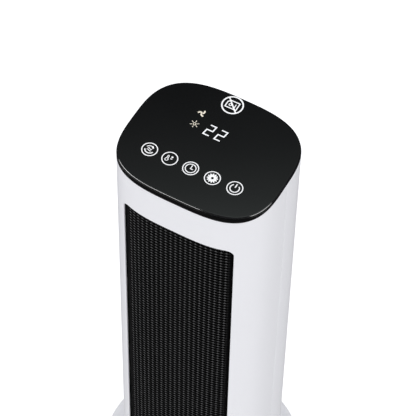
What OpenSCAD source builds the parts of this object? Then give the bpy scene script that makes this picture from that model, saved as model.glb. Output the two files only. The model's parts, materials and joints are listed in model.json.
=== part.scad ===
// Oscillating ceramic tower heater. Millimetres, +Z up, the front faces -Y.
// The origin is on the floor, at the centre of the round base and on the axis that the tower swings about.

/* [Tower] */
// Width of the tower from side to side
tower_w = 160; // [150:1:170]
// Depth of the tower from front to back
tower_d = 132; // [126:1:140]
// Height from the floor to the top of the glass
total_h = 570; // [560:1:600]
// Squareness of the front half of the outline, where 2 is an ellipse
front_square = 3.3; // [3:0.1:3.6]
// Squareness of the rear half of the outline
rear_square = 3; // [2.6:0.05:3.2]
// Wall thickness of the two shells
wall = 2.4; // [2:0.1:2.6]
// Height of the bottom edge of the shells
tower_z = 31; // [30.5:0.1:31.5]

/* [Front opening] */
// Width of the opening in the front shell
opening_w = 116; // [108:1:118]
// Distance from the glass down to the top of the opening
opening_drop = 52; // [48:1:60]
// Height of the bottom of the opening
opening_z = 96; // [90:1:110]
// Corner radius of the opening
opening_r = 8; // [3:0.5:8]

/* [Top] */
// Thickness of the glass panel
glass_t = 2.2; // [2:0.1:2.4]
// Depth of the black rim at the sides and the back, glass included
rim_side = 3; // [2.8:0.1:3.4]
// Depth of the black rim at the middle of the front, glass included
rim_front = 8.5; // [7:0.1:9]
// Distance between the touch buttons
button_pitch = 22.1; // [20:0.1:24]
// Position of the middle touch button from the left to the right
button_x = -3; // [-5:0.1:5]
// Position of the row of touch buttons behind the axis
button_y = -28.8; // [-32:0.1:-24]

/* [Base] */
// Radius of the round base
base_r = 110; // [106:1:120]
// Height of the top of the base
base_h = 28; // [28:0.1:28.4]
// Height of the rubber feet
foot_h = 3; // [2:0.5:3]

/* [Fan and heater] */
// Outside radius of the fan wheel
fan_r = 34; // [30:0.5:35]
// Number of blades of the fan wheel
blades = 24; // [16:1:28]
// Number of heating rows
rows = 4; // [3:1:5]

/* [Swing drive] */
// Gear module of the swing drive
gear_module = 1.25; // [1.25:0.05:1.25]
// Teeth of the fixed gear
gear_teeth = 48; // [48:1:48]
// Teeth of the motor pinion
pinion_teeth = 15; // [15:1:15]

/* [Hidden] */

$fn = 64;
tiny = 0.01;
gap = 0.3;
half_w = tower_w / 2;
half_d = tower_d / 2;
outline_steps = 96;
seam_y = 1.5;
far = 400;

// Heights that several pieces share
glass_z = total_h - glass_t;
shell_top = total_h - rim_side;
slope_start_y = -8;
opening_top = total_h - opening_drop;
cap_plate_t = 2.4;
cap_plate_z = glass_z - cap_plate_t;
board_z = 551.4;
board_t = 1.6;
floor_z = tower_z + 1;
floor_t = 3;
deck_t = 3;
motor_deck_z = 96;
bearing_deck_z = 440;
deck_inset = 6;

// Front opening, grille and rear window
grille_inset = wall + 0.4;
grille_t = 2.4;
grille_lap = 5;
window_w = 92;
window_z = 130;
window_top = 432;
window_lap = 5;
ledge_t = 2.2;

// Screws that join the shells
shell_screw_x = 73;
shell_screw_z = [60, 290, 535];
shell_screw_head_y = 9;
boss_r = 5.2;
screw_r = 1.5;
screw_head_r = 3;
screw_head_h = 2.4;

// Fan, duct and heater block
fan_y = 18;
fan_z = 150;
fan_top = 430;
shaft_r = 3;
running = 0.05;
duct_x = 50.2;
duct_t = 2;
duct_front_y = -53;
duct_rear_y = -10;
scroll_t = 1.6;
ptc_x = 50;
ptc_front_y = -34;
ptc_rear_y = -16;
ptc_z = 160;
ptc_top = 430;
ptc_rim = 4;
tube_w = 4;
tube_wall = 0.6;
pack_w = (2 * (ptc_x - ptc_rim) - rows * tube_w) / (rows + 1);
fin_pitch = 5;

// Swing drive
gear_z = floor_z + 9.4;
gear_h = 6.6;
hub_r = 18;
hub_bore_r = 12;
hub_flange_r = 30;
hub_top = 52;
clip_t = 1.6;
gear_r = gear_module * gear_teeth / 2;
pinion_r = gear_module * pinion_teeth / 2;
swing_x = -(gear_r + pinion_r);
swing_motor_z = 52;
swing_motor_r = 14;
swing_motor_h = 19;
swing_ear_y = 17.5;
pinion_shaft_r = 2.5;
tooth_addendum = 0.85;
tooth_dedendum = 1.25;
tooth_backlash = 0.3;
pressure_angle = 20;

// Tip-over switch
tip_y = 32;
tip_r = 3;
tip_switch_h = 12;

// Power switch and grip on the rear shell
switch_z = 72;
switch_w = 26;
switch_h = 23;
rocker_r = 7.8;
rocker_w = 14;
rocker_y = half_d - 5;
grip_z = 490;
grip_w = 76;
grip_h = 36;
grip_depth = 24;
grip_wall = 2;

// Control board and its parts
board_w = 112;
board_d = 84;
board_post_x = 50;
board_post_y = 36;
display_x = -11;
display_y = 22;
display_w = 50;
display_d = 36;

// ---------------------------------------------------------------- outlines

// One half-axis coordinate of a superellipse, for the cosine or sine v
function bulge(v, half, power) = half * sign(v) * pow(abs(v), 2 / power);

// The tower's outline, drawn in from the outside by inset
function outline(inset) = [
    for (i = [0 : outline_steps - 1])
        let (t = 360 * i / outline_steps, power = sin(t) < 0 ? front_square : rear_square)
        [bulge(cos(t), half_w - inset, power), bulge(sin(t), half_d - inset, power)]
];

module tower_solid(inset, z0, z1) {
    translate([0, 0, z0]) linear_extrude(z1 - z0) polygon(outline(inset));
}

module tower_ring(inset, thick, z0, z1) {
    difference() {
        tower_solid(inset, z0, z1);
        tower_solid(inset + thick, z0 - 1, z1 + 1);
    }
}

// A box between two corners
module block(low, high) {
    translate(low) cube(high - low);
}

// A cylinder that runs towards -Y from the point p
module rod_y(p, r, length) {
    translate(p) rotate([90, 0, 0]) cylinder(r = r, h = length);
}

module tube(r_out, r_in, z0, z1) {
    translate([0, 0, z0]) difference() {
        cylinder(r = r_out, h = z1 - z0);
        translate([0, 0, -1]) cylinder(r = r_in, h = z1 - z0 + 2);
    }
}

// A plate with round corners in the XZ plane, from y0 to y1
module rounded_window(w, z0, z1, r, y0, y1) {
    translate([0, y1, 0]) rotate([90, 0, 0]) linear_extrude(y1 - y0) {
        translate([-w / 2 + r, z0]) square([w - 2 * r, z1 - z0]);
        translate([-w / 2, z0 + r]) square([w, z1 - z0 - 2 * r]);
        for (x = [-w / 2 + r, w / 2 - r], z = [z0 + r, z1 - r])
            translate([x, z]) circle(r = r);
    }
}

// Everything above the sloped line where the rim meets the shells, lifted by clear
module above_rim_line(clear) {
    slope = (rim_front - rim_side) / (half_d + slope_start_y);
    run = far / 4;
    rotate([90, 0, 90]) translate([0, 0, -far / 2]) linear_extrude(far) polygon([
        [far, shell_top + clear], [slope_start_y, shell_top + clear],
        [slope_start_y - run, shell_top + clear - run * slope], [slope_start_y - run, far * 2],
        [far, far * 2]
    ]);
}

// ---------------------------------------------------------------- gears

// Angle in degrees that an involute of base radius rb has unwound at radius r
function unwound(r, rb) = r <= rb ? 0 : let (t = sqrt(pow(r / rb, 2) - 1)) t * 180 / PI - atan(t);

function polar(r, angle) = [r * cos(angle), r * sin(angle)];

function gear_outline(teeth) =
    let (
        rp = gear_module * teeth / 2,
        rb = rp * cos(pressure_angle),
        root = rp - tooth_dedendum * gear_module,
        tip = rp + tooth_addendum * gear_module,
        half = 90 / teeth + unwound(rp, rb) - tooth_backlash / rp * 45 / PI,
        start = max(root + tiny, rb),
        radii = [root, start, (start + tip) / 2, tip]
    )
    [for (k = [0 : teeth - 1], side = [-1, 1], i = [0 : 3])
        let (r = radii[side < 0 ? i : 3 - i])
        polar(r, 360 * k / teeth + side * (half - unwound(r, rb)))];

// ---------------------------------------------------------------- base

base_wall = 2.5;
base_round = 10;
feet = 6;
foot_ring_r = 90;
base_screw_ring_r = 76;
cord_z = 12.2;
cord_r = 3.6;
inlet_r = 5.5;

module base_profile(r, top, bottom, corner) {
    translate([0, bottom]) square([r - corner, top - bottom]);
    translate([0, bottom]) square([r, top - corner - bottom]);
    intersection() {
        translate([r - corner, top - corner]) circle(r = corner);
        translate([0, bottom]) square([r, top]);
    }
}

module base_screw_places() {
    for (k = [0 : 3]) rotate(45 + 90 * k) translate([base_screw_ring_r, 0, 0]) children();
}

module base_shell() {
    color("white") difference() {
        union() {
            difference() {
                rotate_extrude($fn = 96) base_profile(base_r, base_h, foot_h, base_round);
                rotate_extrude($fn = 96)
                    base_profile(base_r - base_wall, base_h - base_wall, foot_h - 1, base_round - base_wall);
            }
            base_screw_places() translate([0, 0, foot_h + base_wall])
                cylinder(r = 4, h = base_h - foot_h - base_wall - 1);
        }
        base_screw_places() translate([0, 0, foot_h]) cylinder(r = screw_r + running, h = 14);
        translate([0, 0, base_h / 2]) cylinder(r = hub_r, h = base_h);
        rod_y([0, base_r + 5, cord_z], inlet_r, 20);
    }
}

module base_cover() {
    color("dimgray") difference() {
        translate([0, 0, foot_h]) cylinder(r = base_r - base_wall - gap, h = base_wall, $fn = 96);
        translate([0, tip_y, 0]) cylinder(r = tip_r + running, h = base_h);
        base_screw_places() cylinder(r = screw_r + 0.1, h = base_h);
        for (k = [0 : 23]) rotate(15 * k) block([16, -1.25, 0], [24, 1.25, base_h]);
    }
}

module base_weight() {
    color("slategray") difference() {
        translate([0, 0, foot_h + base_wall]) cylinder(r = 98, h = 5);
        cylinder(r = 48, h = base_h);
        base_screw_places() cylinder(r = 5, h = base_h);
        block([-14, 84, 0], [14, 100, base_h]);
    }
}

module rubber_feet() {
    color("black") for (k = [0 : feet - 1]) rotate(360 / feet * (k + 0.5))
        translate([foot_ring_r, 0, 0]) cylinder(r = 8, h = foot_h);
}

module base_screws() {
    color("silver") base_screw_places() {
        translate([0, 0, foot_h - 1.6]) cylinder(r = screw_head_r, h = 1.6);
        translate([0, 0, foot_h - tiny]) cylinder(r = screw_r, h = 12);
    }
}

module glide_ring() {
    color("white") tube(50, 42, base_h, floor_z - gap);
}

module swivel_hub() {
    color("whitesmoke") difference() {
        union() {
            translate([0, 0, base_h - base_wall - 4]) cylinder(r = hub_flange_r, h = 4);
            translate([0, 0, base_h - base_wall - 4]) cylinder(r = hub_r, h = hub_top - base_h + base_wall + 4);
        }
        cylinder(r = hub_bore_r, h = far);
        tube(hub_r + 1, hub_r - 1.2, gear_z + gear_h, gear_z + gear_h + clip_t);
    }
}

module swing_gear() {
    color("ivory") translate([0, 0, gear_z]) difference() {
        linear_extrude(gear_h) polygon(gear_outline(gear_teeth));
        translate([0, 0, -1]) cylinder(r = hub_r, h = gear_h + 2);
        for (k = [0 : 5]) rotate(60 * k) translate([23.5, 0, -1]) cylinder(r = 3, h = gear_h + 2);
    }
}

module hub_clip() {
    color("silver") difference() {
        tube(hub_r + 3, hub_r - 1.2, gear_z + gear_h, gear_z + gear_h + clip_t);
        block([0, -3, gear_z], [hub_r + 5, 3, hub_top]);
    }
}

module tip_switch() {
    z0 = foot_h + base_wall;
    color("firebrick") difference() {
        block([-10, tip_y - 7, z0], [10, tip_y + 7, z0 + tip_switch_h]);
        translate([0, tip_y, z0 - 1]) cylinder(r = tip_r + running, h = tip_switch_h - 1);
        translate([0, tip_y, z0 + 4]) cylinder(r = tip_r + 1.6, h = tip_switch_h - 6);
    }
}

module tip_plunger() {
    collar_z = foot_h + base_wall + 4.2;
    color("white") translate([0, tip_y, 0]) {
        translate([0, 0, 2]) cylinder(r = tip_r, h = collar_z - 2);
        rotate_extrude() intersection() {
            translate([0, tip_r]) circle(r = tip_r);
            square([tip_r, 2]);
        }
        translate([0, 0, collar_z]) cylinder(r = tip_r - 1.4, h = 5);
    }
}

module tip_spring() {
    coil_z = foot_h + base_wall + 4.4;
    color("silver") translate([0, tip_y, coil_z]) rotate_extrude()
        for (k = [0 : 6]) translate([tip_r - 0.2, 0.45 + 0.72 * k]) circle(r = 0.4);
}

module cord_inlet() {
    color("black") difference() {
        union() {
            rod_y([0, base_r - 0.2, cord_z], inlet_r - tiny, 12);
            rod_y([0, base_r - base_wall - 1, cord_z], inlet_r + 1, 2);
        }
        rod_y([0, base_r + 5, cord_z], cord_r, 30);
    }
}

// ---------------------------------------------------------------- tower shells

module tower_floor() {
    top = floor_z + floor_t;
    color("gainsboro") difference() {
        union() {
            tower_solid(wall + 0.6, floor_z, top);
            tower_ring(wall + 0.6, 2, top - tiny, top + 9);
            translate([0, 0, floor_z]) cylinder(r = 22, h = 9);
            for (y = [-swing_ear_y, swing_ear_y])
                translate([swing_x, y, floor_z]) cylinder(r = 3.5, h = swing_motor_z - floor_z);
            for (x = [20, 62], y = [-30, 30])
                translate([x, y, floor_z]) cylinder(r = 3, h = 22);
        }
        translate([0, 0, floor_z - 1]) cylinder(r = hub_r + running, h = far);
        for (y = [-swing_ear_y, swing_ear_y])
            translate([swing_x, y, floor_z + 6]) cylinder(r = screw_r - 0.2, h = 20);
    }
}

module front_shell() {
    color("white") difference() {
        union() {
            tower_ring(0, wall, tower_z, shell_top);
            for (x = [-shell_screw_x, shell_screw_x], z = shell_screw_z)
                intersection() {
                    rod_y([x, seam_y, z], boss_r, 16);
                    tower_solid(wall / 2, tower_z, shell_top);
                }
        }
        block([-far, seam_y, -1], [far, far, far * 2]);
        above_rim_line(0);
        rounded_window(opening_w, opening_z, opening_top, opening_r, -far, -20);
        for (x = [-shell_screw_x, shell_screw_x], z = shell_screw_z)
            rod_y([x, seam_y + 1, z], screw_r + running, 14);
    }
}

module front_grille() {
    cols = 3;
    slots = 36;
    pitch = (opening_top - opening_z - 8) / slots;
    slot_w = (opening_w - 12) / cols;
    color("black") difference() {
        tower_ring(grille_inset, grille_t, opening_z - grille_lap, opening_top + grille_lap);
        block([-far, -45, -1], [far, far, far * 2]);
        for (side = [-1, 1])
            translate([side * (opening_w / 2 + grille_lap + far / 2), 0, far / 2]) cube([far, far, far * 3], center = true);
        for (c = [0 : cols - 1], k = [0 : slots - 1])
            translate([(c - (cols - 1) / 2) * slot_w, -half_d, opening_z + 4 + pitch * (k + 0.5)])
                cube([slot_w - 3, 50, pitch - 5], center = true);
    }
}

module rear_shell() {
    color("white") difference() {
        union() {
            tower_ring(0, wall, tower_z, shell_top);
            intersection() {
                tower_ring(wall - tiny, ledge_t, window_z - window_lap, window_top + window_lap);
                block([-window_w / 2 - window_lap, 0, 0], [window_w / 2 + window_lap, far, far * 2]);
            }
            for (x = [-shell_screw_x, shell_screw_x], z = shell_screw_z)
                intersection() {
                    rod_y([x, half_d, z], boss_r, half_d - seam_y);
                    tower_solid(wall / 2, tower_z, shell_top);
                }
        }
        block([-far, -far, -1], [far, seam_y + 0.1, far * 2]);
        block([-window_w / 2, 20, window_z], [window_w / 2, far, window_top]);
        block([-grip_w / 2, 20, grip_z - grip_h / 2], [grip_w / 2, far, grip_z + grip_h / 2]);
        block([-switch_w / 2 + 2, 20, switch_z - switch_h / 2 + 2],
              [switch_w / 2 - 2, far, switch_z + switch_h / 2 - 2]);
        for (x = [-shell_screw_x, shell_screw_x], z = shell_screw_z) {
            rod_y([x, half_d + 1, z], screw_head_r + 0.5, half_d + 1 - shell_screw_head_y);
            rod_y([x, shell_screw_head_y + 1, z], screw_r + running, 20);
        }
    }
    // The ledge that the filter panel's edges rest on
    color("white") intersection() {
        difference() {
            tower_ring(wall, ledge_t, window_z - window_lap, window_top + window_lap);
            block([-window_w / 2 + window_lap, 0, window_z + window_lap],
                  [window_w / 2 - window_lap, far, window_top - window_lap]);
        }
        block([-window_w / 2 - tiny, 0, window_z - tiny], [window_w / 2 + tiny, far, window_top + tiny]);
    }
}

module shell_screws() {
    color("silver") for (x = [-shell_screw_x, shell_screw_x], z = shell_screw_z) {
        rod_y([x, shell_screw_head_y + screw_head_h, z], screw_head_r, screw_head_h);
        rod_y([x, shell_screw_head_y + tiny, z], screw_r, 20);
    }
}

// ---------------------------------------------------------------- top

module button_places() {
    for (k = [-2 : 2]) translate([button_x + k * button_pitch, button_y, 0]) children();
}

module board_places() {
    for (x = [-board_post_x, board_post_x], y = [-board_post_y, board_post_y])
        translate([x, y, 0]) children();
}

module top_cap() {
    spigot_z = 556;
    color("black") difference() {
        union() {
            tower_solid(wall + gap, cap_plate_z, glass_z);
            intersection() {
                tower_ring(0, wall + gap + tiny, total_h - rim_front - 3, glass_z);
                above_rim_line(0.2);
            }
            tower_ring(wall + gap, 2, spigot_z, cap_plate_z + tiny);
            board_places() translate([0, 0, board_z + board_t]) cylinder(r = 3, h = cap_plate_z - board_z - 1);
        }
        button_places() translate([0, 0, cap_plate_z - 1]) cylinder(r = 6, h = far);
        translate([display_x - display_w / 2 - gap, display_y - display_d / 2 - gap, cap_plate_z - 1])
            cube([display_w + 2 * gap, display_d + 2 * gap, 20]);
        board_places() translate([0, 0, board_z - 1]) cylinder(r = screw_r + running, h = 12);
    }
}

module glass_panel() {
    color([0.05, 0.05, 0.06]) tower_solid(0.4, glass_z, total_h);
}

module control_board() {
    color("darkgreen") difference() {
        block([-board_w / 2, -board_d / 2, board_z], [board_w / 2, board_d / 2, board_z + board_t]);
        board_places() translate([0, 0, board_z - 1]) cylinder(r = screw_r + 0.1, h = 5);
    }
}

module display_module() {
    color("black")
        block([display_x - display_w / 2, display_y - display_d / 2, board_z + board_t],
              [display_x + display_w / 2, display_y + display_d / 2, glass_z - 0.2]);
}

module touch_springs() {
    turns = 6;
    pitch = (glass_z - board_z - board_t) / turns;
    wire = 0.6;
    function turn(k, r) = [r + (k % 2) * wire, k * pitch / 2];
    color("gold") button_places() translate([0, 0, board_z + board_t]) rotate_extrude() polygon(
        concat([for (k = [0 : 2 * turns]) turn(k, 3.4)], [for (k = [2 * turns : -1 : 0]) turn(k, 3.4 - wire)]));
}

module buzzer() {
    color([0.1, 0.1, 0.1]) translate([38, 8, 0]) difference() {
        translate([0, 0, board_z + board_t]) cylinder(r = 6, h = 9);
        translate([0, 0, board_z + board_t + 5]) cylinder(r = 1, h = 9);
    }
}

module board_screws() {
    color("silver") board_places() {
        translate([0, 0, board_z - screw_head_h]) cylinder(r = screw_head_r, h = screw_head_h);
        translate([0, 0, board_z - tiny]) cylinder(r = screw_r, h = 10);
    }
}

// ---------------------------------------------------------------- electrical parts in the foot of the tower

power_z = floor_z + 22;

module power_board() {
    color("darkgreen") block([12, -36, power_z], [66, 36, power_z + board_t]);
}

module relays() {
    color("royalblue") for (y = [-24, -4])
        block([24, y, power_z + board_t], [43, y + 15.5, power_z + board_t + 15.5]);
}

module capacitor() {
    color("gold") block([48, -20, power_z + board_t], [60, 12, power_z + board_t + 14]);
}

// ---------------------------------------------------------------- fan and heater

module deck_outline(z) {
    tower_solid(deck_inset, z, z + deck_t);
}

module motor_deck() {
    color("gainsboro") difference() {
        deck_outline(motor_deck_z);
        translate([0, fan_y, motor_deck_z - 1]) cylinder(r = 8, h = 5);
        for (x = [-62, 62]) translate([x, 0, motor_deck_z - 1]) cylinder(r = 4, h = 5);
        for (k = [0 : 3]) translate([0, fan_y, motor_deck_z - 1]) rotate(45 + 90 * k)
            translate([30, 0, 0]) cylinder(r = screw_r + running, h = 5);
    }
}

module bearing_deck() {
    color("gainsboro") difference() {
        deck_outline(bearing_deck_z);
        translate([0, fan_y, bearing_deck_z - 1]) cylinder(r = 7, h = 5);
        for (x = [-62, 62]) translate([x, 0, bearing_deck_z - 1]) cylinder(r = 4, h = 5);
    }
}

module duct_wall(side) {
    x = side * (duct_x + duct_t / 2);
    color("dimgray") translate([x - duct_t / 2, duct_front_y, motor_deck_z + deck_t])
        cube([duct_t, duct_rear_y - duct_front_y, bearing_deck_z - motor_deck_z - deck_t]);
}

module left_duct_wall() {
    duct_wall(-1);
}

module right_duct_wall() {
    duct_wall(1);
}

// A curved wall round the fan: a spiral whose radius grows from r0 to r1, and a straight lead to the duct
module fan_wall(a0, a1, r0, r1, lead_x) {
    steps = 20;
    spiral = [for (i = [0 : steps]) let (u = i / steps) [a0 + (a1 - a0) * u, r0 + (r1 - r0) * u]];
    inner = [for (s = spiral) [0, fan_y] + polar(s[1], s[0])];
    outer = [for (s = spiral) [0, fan_y] + polar(s[1] + scroll_t, s[0])];
    lead = [lead_x, duct_rear_y + 0.2];
    sideways = [sign(lead_x) * scroll_t, 0];
    points = concat([lead], [for (i = [steps : -1 : 0]) inner[i]], outer, [lead + sideways]);
    translate([0, 0, motor_deck_z + deck_t])
        linear_extrude(bearing_deck_z - motor_deck_z - deck_t) polygon(points);
}

module fan_scroll() {
    color("dimgray") fan_wall(100, 205, 37, 46, -duct_x);
}

module fan_tongue() {
    color("dimgray") fan_wall(15, -25, 36.5, 37.5, duct_x);
}

module ptc_frame() {
    color("sienna") difference() {
        block([-ptc_x, ptc_front_y, ptc_z], [ptc_x, ptc_rear_y, ptc_top]);
        block([-ptc_x + ptc_rim, ptc_front_y - 1, ptc_z + ptc_rim],
              [ptc_x - ptc_rim, ptc_rear_y + 1, ptc_top - ptc_rim]);
    }
}

// Left edge of heating row k
function tube_left(k) = -ptc_x + ptc_rim + pack_w + k * (pack_w + tube_w);

module ptc_tubes() {
    depth = ptc_rear_y - ptc_front_y;
    color("lightgray") for (k = [0 : rows - 1]) translate([tube_left(k), ptc_front_y + 2, ptc_z + ptc_rim])
        difference() {
            cube([tube_w, depth - 4, ptc_top - ptc_z - 2 * ptc_rim]);
            translate([tube_wall, tube_wall, -1])
                cube([tube_w - 2 * tube_wall, depth - 4 - 2 * tube_wall, far]);
        }
}

module ptc_stones() {
    stones = 9;
    pitch = (ptc_top - ptc_z - 2 * ptc_rim) / stones;
    color("bisque") for (k = [0 : rows - 1], i = [0 : stones - 1])
        translate([tube_left(k) + tube_wall + 0.2, ptc_front_y + 4, ptc_z + ptc_rim + pitch * i + 1])
            cube([tube_w - 2 * tube_wall - 0.4, 10, pitch - 2]);
}

module ptc_fins() {
    folds = floor((ptc_top - ptc_z - 2 * ptc_rim - 2) / fin_pitch * 2);
    lean = 1.3;
    half = pack_w / 2 - 0.1 - lean;
    function fold(i, dx) = [(i % 2 == 0 ? -half : half) + dx, i * fin_pitch / 2];
    color("silver") for (k = [0 : rows])
        translate([-ptc_x + ptc_rim + pack_w / 2 + k * (pack_w + tube_w), ptc_rear_y - 2, ptc_z + ptc_rim + 1])
            rotate([90, 0, 0]) linear_extrude(ptc_rear_y - ptc_front_y - 4) polygon(concat(
                [for (i = [0 : folds]) fold(i, lean)], [for (i = [folds : -1 : 0]) fold(i, -lean)]));
}

module ptc_terminals() {
    color("gold") for (k = [0 : rows - 1])
        translate([tube_left(k) + 1.6, ptc_front_y + 6, ptc_top]) cube([0.8, 6.3, 8]);
}

module thermal_cutout() {
    color("silver") translate([-ptc_x + 6, ptc_front_y + 8, ptc_top]) {
        cylinder(r = 5.5, h = 2);
        translate([0, 0, 2 - tiny]) cylinder(r = 4.4, h = 4);
    }
}

module room_sensor() {
    color("black") translate([60, 10, bearing_deck_z + deck_t]) {
        cylinder(r = 2, h = 12);
        translate([0, 0, 12]) sphere(r = 2);
    }
}

module fan_motor() {
    z0 = motor_deck_z + deck_t;
    color("silver") translate([0, fan_y, z0]) difference() {
        union() {
            cylinder(r = 26, h = 36);
            translate([0, 0, 36 - tiny]) cylinder(r = 10, h = 4);
            for (k = [0 : 3]) rotate(45 + 90 * k) translate([30, 0, 0]) cylinder(r = 4, h = 3);
            for (k = [0 : 3]) rotate(45 + 90 * k) block([22, -4, 0], [30, 4, 3]);
        }
        translate([0, 0, 10]) cylinder(r = shaft_r + running, h = far);
        for (k = [0 : 3]) rotate(45 + 90 * k) translate([30, 0, -1]) cylinder(r = screw_r + running, h = 6);
    }
}

module motor_screws() {
    color("silver") translate([0, fan_y, motor_deck_z + deck_t + 3]) for (k = [0 : 3])
        rotate(45 + 90 * k) translate([30, 0, 0]) {
            cylinder(r = screw_head_r, h = screw_head_h);
            translate([0, 0, -5.9]) cylinder(r = screw_r, h = 6);
        }
}

module fan_bush() {
    color("goldenrod") translate([0, fan_y, 0]) {
        tube(7 - tiny, shaft_r + running, bearing_deck_z - 1, bearing_deck_z + deck_t + 5);
        tube(9, 7 - tiny, bearing_deck_z - 1, bearing_deck_z);
    }
}

module fan_shaft() {
    color("silver") translate([0, fan_y, motor_deck_z + deck_t + 12])
        cylinder(r = shaft_r, h = bearing_deck_z - motor_deck_z - 6);
}

// One blade leans further forward the nearer it is to the rim
module blade_section() {
    steps = 4;
    lean = 12;
    half_t = 0.4;
    inner_r = fan_r - 8.4;
    span = 7.2;
    function edge(i, side) =
        let (u = i / steps, r = inner_r + span * u)
        polar(r, lean * u * u + side * half_t / r * 180 / PI);
    polygon(concat([for (i = [0 : steps]) edge(i, -1)], [for (i = [steps : -1 : 0]) edge(i, 1)]));
}

module fan_wheel() {
    discs = 4;
    span = fan_top - fan_z;
    color("gray") translate([0, fan_y, fan_z]) {
        for (k = [0 : blades - 1]) rotate(360 / blades * k) linear_extrude(span) blade_section();
        for (k = [1 : discs - 1]) tube(fan_r, fan_r - 9, span * k / discs - 0.8, span * k / discs + 0.8);
        tube(fan_r, shaft_r, 0, 1.6);
        tube(fan_r, shaft_r, span - 1.6, span);
        tube(7, shaft_r, 0, 10);
        tube(7, shaft_r, span - 10, span);
    }
}

// ---------------------------------------------------------------- swing drive in the tower

module swing_motor() {
    color("silver") translate([swing_x, 0, swing_motor_z]) difference() {
        union() {
            cylinder(r = swing_motor_r, h = swing_motor_h);
            block([-3.5, -swing_ear_y, 0], [3.5, swing_ear_y, 1]);
            for (y = [-swing_ear_y, swing_ear_y]) translate([0, y, 0]) cylinder(r = 3.5, h = 1);
            block([-20, -7, 2], [-10, 7, 16]);
        }
        translate([0, 0, -1]) cylinder(r = pinion_shaft_r + running, h = 11);
        for (y = [-swing_ear_y, swing_ear_y]) translate([0, y, -1]) cylinder(r = screw_r + 0.1, h = 3);
    }
}

module swing_screws() {
    color("silver") for (y = [-swing_ear_y, swing_ear_y]) translate([swing_x, y, swing_motor_z + 1]) {
        cylinder(r = 2.6, h = 2);
        translate([0, 0, -9]) cylinder(r = screw_r - 0.25, h = 9.1);
    }
}

module swing_pinion() {
    color("ivory") translate([swing_x, 0, gear_z + 0.4]) {
        rotate(180 / pinion_teeth) linear_extrude(gear_h - 0.8) polygon(gear_outline(pinion_teeth));
        translate([0, 0, gear_h - 0.8 - tiny]) cylinder(r = pinion_shaft_r, h = swing_motor_z - gear_z + 1);
    }
}

// ---------------------------------------------------------------- pieces on the rear shell

module switch_frame() {
    inner_w = rocker_w + 2 * gap;
    inner_h = 2 * rocker_r + 2 * gap;
    color([0.1, 0.1, 0.1]) difference() {
        union() {
            block([-switch_w / 2, half_d, switch_z - switch_h / 2], [switch_w / 2, half_d + 1.6, switch_z + switch_h / 2]);
            block([-switch_w / 2 + 2.2, half_d - 20, switch_z - switch_h / 2 + 2.2 - 0.1],
                  [switch_w / 2 - 2.2, half_d + tiny, switch_z + switch_h / 2 - 2.2 + 0.1]);
        }
        block([-inner_w / 2, half_d - 15, switch_z - inner_h / 2], [inner_w / 2, half_d + 5, switch_z + inner_h / 2]);
        translate([-inner_w / 2 - 1.6, rocker_y, switch_z]) rotate([0, 90, 0])
            cylinder(r = 1.5 + running, h = inner_w + 3.2);
    }
}

module power_rocker() {
    tilt = 9;
    face_y = 5.4;
    color([0.75, 0.1, 0.08]) translate([0, rocker_y, switch_z]) {
        rotate([90, 0, 90]) translate([0, 0, -rocker_w / 2]) linear_extrude(rocker_w) rotate(-tilt)
            intersection() {
                circle(r = rocker_r);
                polygon([[-5, -10], [face_y + 10 * sin(tilt), -10], [face_y, 0],
                         [face_y + 10 * sin(tilt), 10], [-5, 10]]);
            }
        translate([-rocker_w / 2 - 1.6, 0, 0]) rotate([0, 90, 0]) cylinder(r = 1.5, h = rocker_w + 3.2);
    }
}

module grip_cup() {
    w = grip_w - 2 * gap;
    h = grip_h - 2 * gap;
    color([0.1, 0.1, 0.1]) intersection() {
        difference() {
            block([-w / 2, half_d - grip_depth, grip_z - h / 2], [w / 2, half_d, grip_z + h / 2]);
            block([-w / 2 + grip_wall, half_d - grip_depth + grip_wall, grip_z - h / 2 + grip_wall],
                  [w / 2 - grip_wall, far, grip_z + h / 2 - grip_wall]);
        }
        tower_solid(0.2, tower_z, total_h);
    }
}

module filter_panel() {
    slots = 32;
    cols = 3;
    edge = 8;
    pitch = (window_top - window_z - 2 * edge) / slots;
    slot_w = (window_w - 2 * edge) / cols;
    color("white") intersection() {
        difference() {
            tower_ring(0, wall - 0.2, window_z + gap, window_top - gap);
            for (c = [0 : cols - 1], k = [0 : slots - 1])
                translate([(c - (cols - 1) / 2) * slot_w, half_d, window_z + edge + pitch * (k + 0.5)])
                    cube([slot_w - 3, 40, pitch - 4.5], center = true);
        }
        block([-window_w / 2 + gap, 0, 0], [window_w / 2 - gap, far, far * 2]);
    }
}

module filter_mesh() {
    w = window_w - 2 * window_lap - 2 * gap;
    color("gray") intersection() {
        tower_ring(wall - 0.2, 1.8, window_z + window_lap + gap, window_top - window_lap - gap);
        block([-w / 2, 0, 0], [w / 2, far, far * 2]);
    }
}

base_shell();
base_cover();
base_weight();
rubber_feet();
base_screws();
glide_ring();
swivel_hub();
swing_gear();
hub_clip();
tip_switch();
tip_plunger();
tip_spring();
cord_inlet();
tower_floor();
front_shell();
rear_shell();
front_grille();
shell_screws();
top_cap();
glass_panel();
control_board();
display_module();
touch_springs();
buzzer();
board_screws();
power_board();
relays();
capacitor();
motor_deck();
bearing_deck();
left_duct_wall();
right_duct_wall();
fan_scroll();
fan_tongue();
ptc_frame();
ptc_tubes();
ptc_stones();
ptc_fins();
ptc_terminals();
thermal_cutout();
room_sensor();
fan_motor();
motor_screws();
fan_bush();
fan_shaft();
fan_wheel();
swing_motor();
swing_screws();
swing_pinion();
switch_frame();
power_rocker();
grip_cup();
filter_panel();
filter_mesh();
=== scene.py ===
import json

import bmesh
import bpy
import numpy as np
from mathutils import Matrix, Vector


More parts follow.
